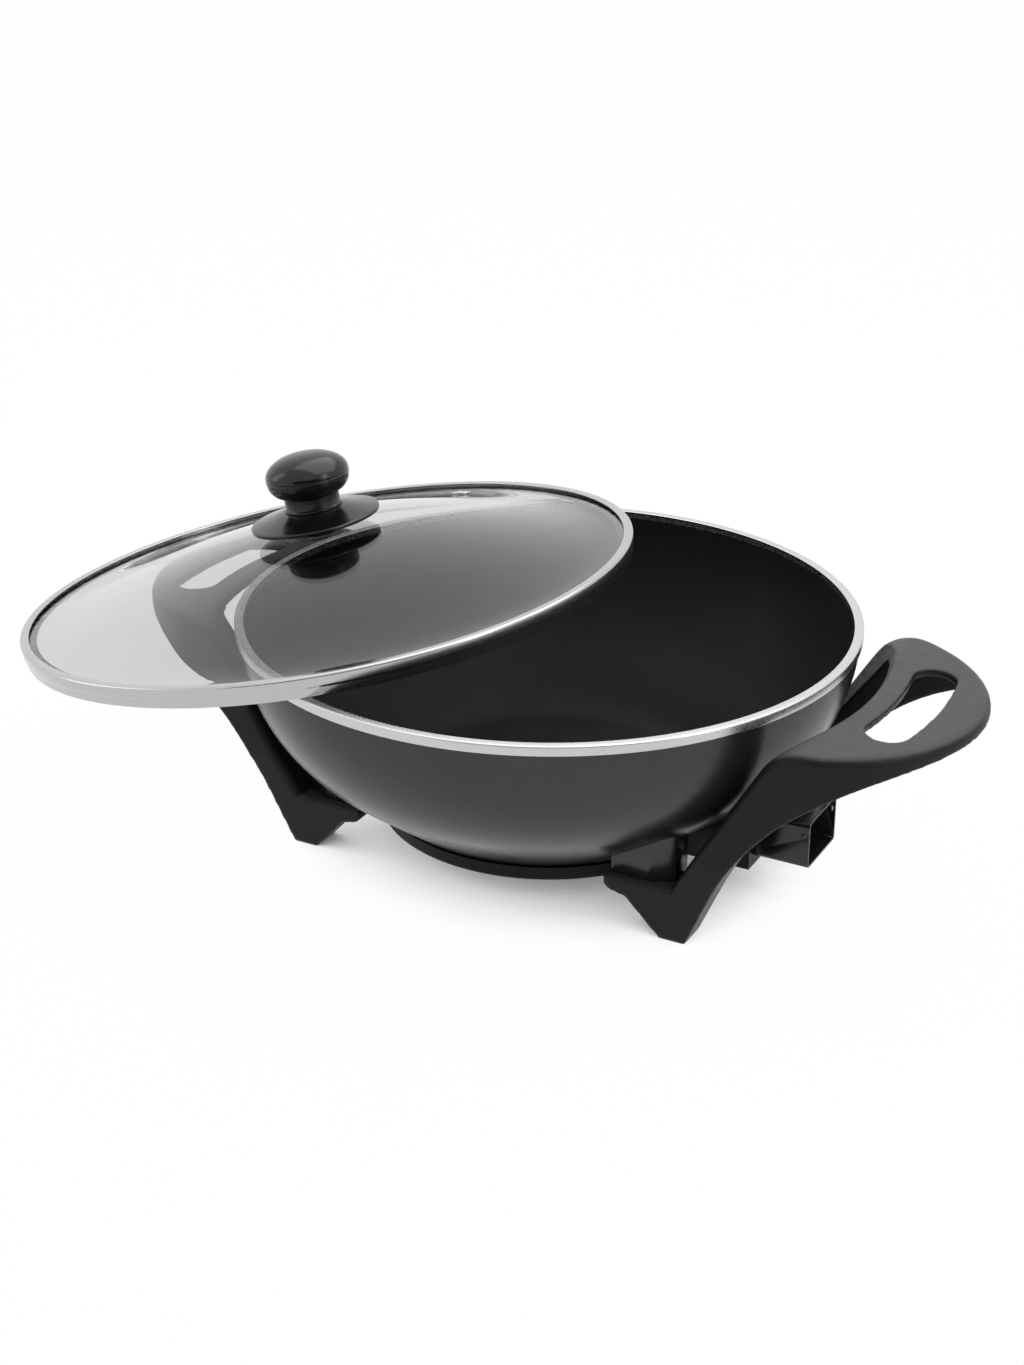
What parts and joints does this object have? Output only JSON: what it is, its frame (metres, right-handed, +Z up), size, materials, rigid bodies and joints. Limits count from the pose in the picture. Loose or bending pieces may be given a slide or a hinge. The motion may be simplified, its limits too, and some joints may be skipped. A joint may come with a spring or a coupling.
{
  "type": "electric wok",
  "caption": "Electric wok: a round non-stick bowl on two moulded handle-and-leg units, with a plug-in inlet and a loose domed glass lid lying across one handle.",
  "frame": {"origin": "under the middle of the part's overall box, on the table, with the lid lying as it does at rest", "axes": "+Z up, +X from the lid's side towards the handle with the inlet, +Y from the front foot pair to the back one"},
  "size_m": [0.5888, 0.3741, 0.2167],
  "materials": {
    "cast_bowl": "dark metallic coat outside, black non-stick inside, bright turned rim",
    "black_moulding": "fine-grained matte black phenolic moulding",
    "knob_plastic": "smooth satin-gloss black",
    "black_sheet": "gloss black enamel on thin steel sheet",
    "stainless": "polished stainless steel",
    "zinc_steel": "plated steel hardware",
    "clear_glass": "clear tempered glass",
    "soft_seal": "black silicone",
    "ceramic_bead": "off-white ceramic"
  },
  "bodies": {
    "wok": {"bowl": "cast_bowl", "mounting_lugs": "cast_bowl", "terminal_block": "cast_bowl", "heat_shield": "black_sheet", "shield_screw": "zinc_steel", "heating_element": "zinc_steel", "terminal_pins": "stainless", "terminal_beads": "ceramic_bead", "probe_sleeve": "stainless", "inlet_guard": "black_sheet", "guard_studs": "stainless", "guard_screws": "zinc_steel", "handle_right": "black_moulding", "handle_left": "black_moulding", "handle_screws_right": "zinc_steel", "handle_screws_left": "zinc_steel", "handle_washers_right": "zinc_steel", "handle_washers_left": "zinc_steel"},
    "lid": {"lid_glass": "clear_glass", "lid_band": "stainless", "lid_knob": "knob_plastic", "knob_base": "knob_plastic", "knob_gaskets": "soft_seal", "knob_screw": "zinc_steel", "steam_vent": "stainless"}
  },
  "joints": [
    {"name": "lid_lift", "type": "slide", "parent": "wok", "child": "lid", "axis": [0, 0, 1], "range_m": [0, 0.22]}
  ]
}
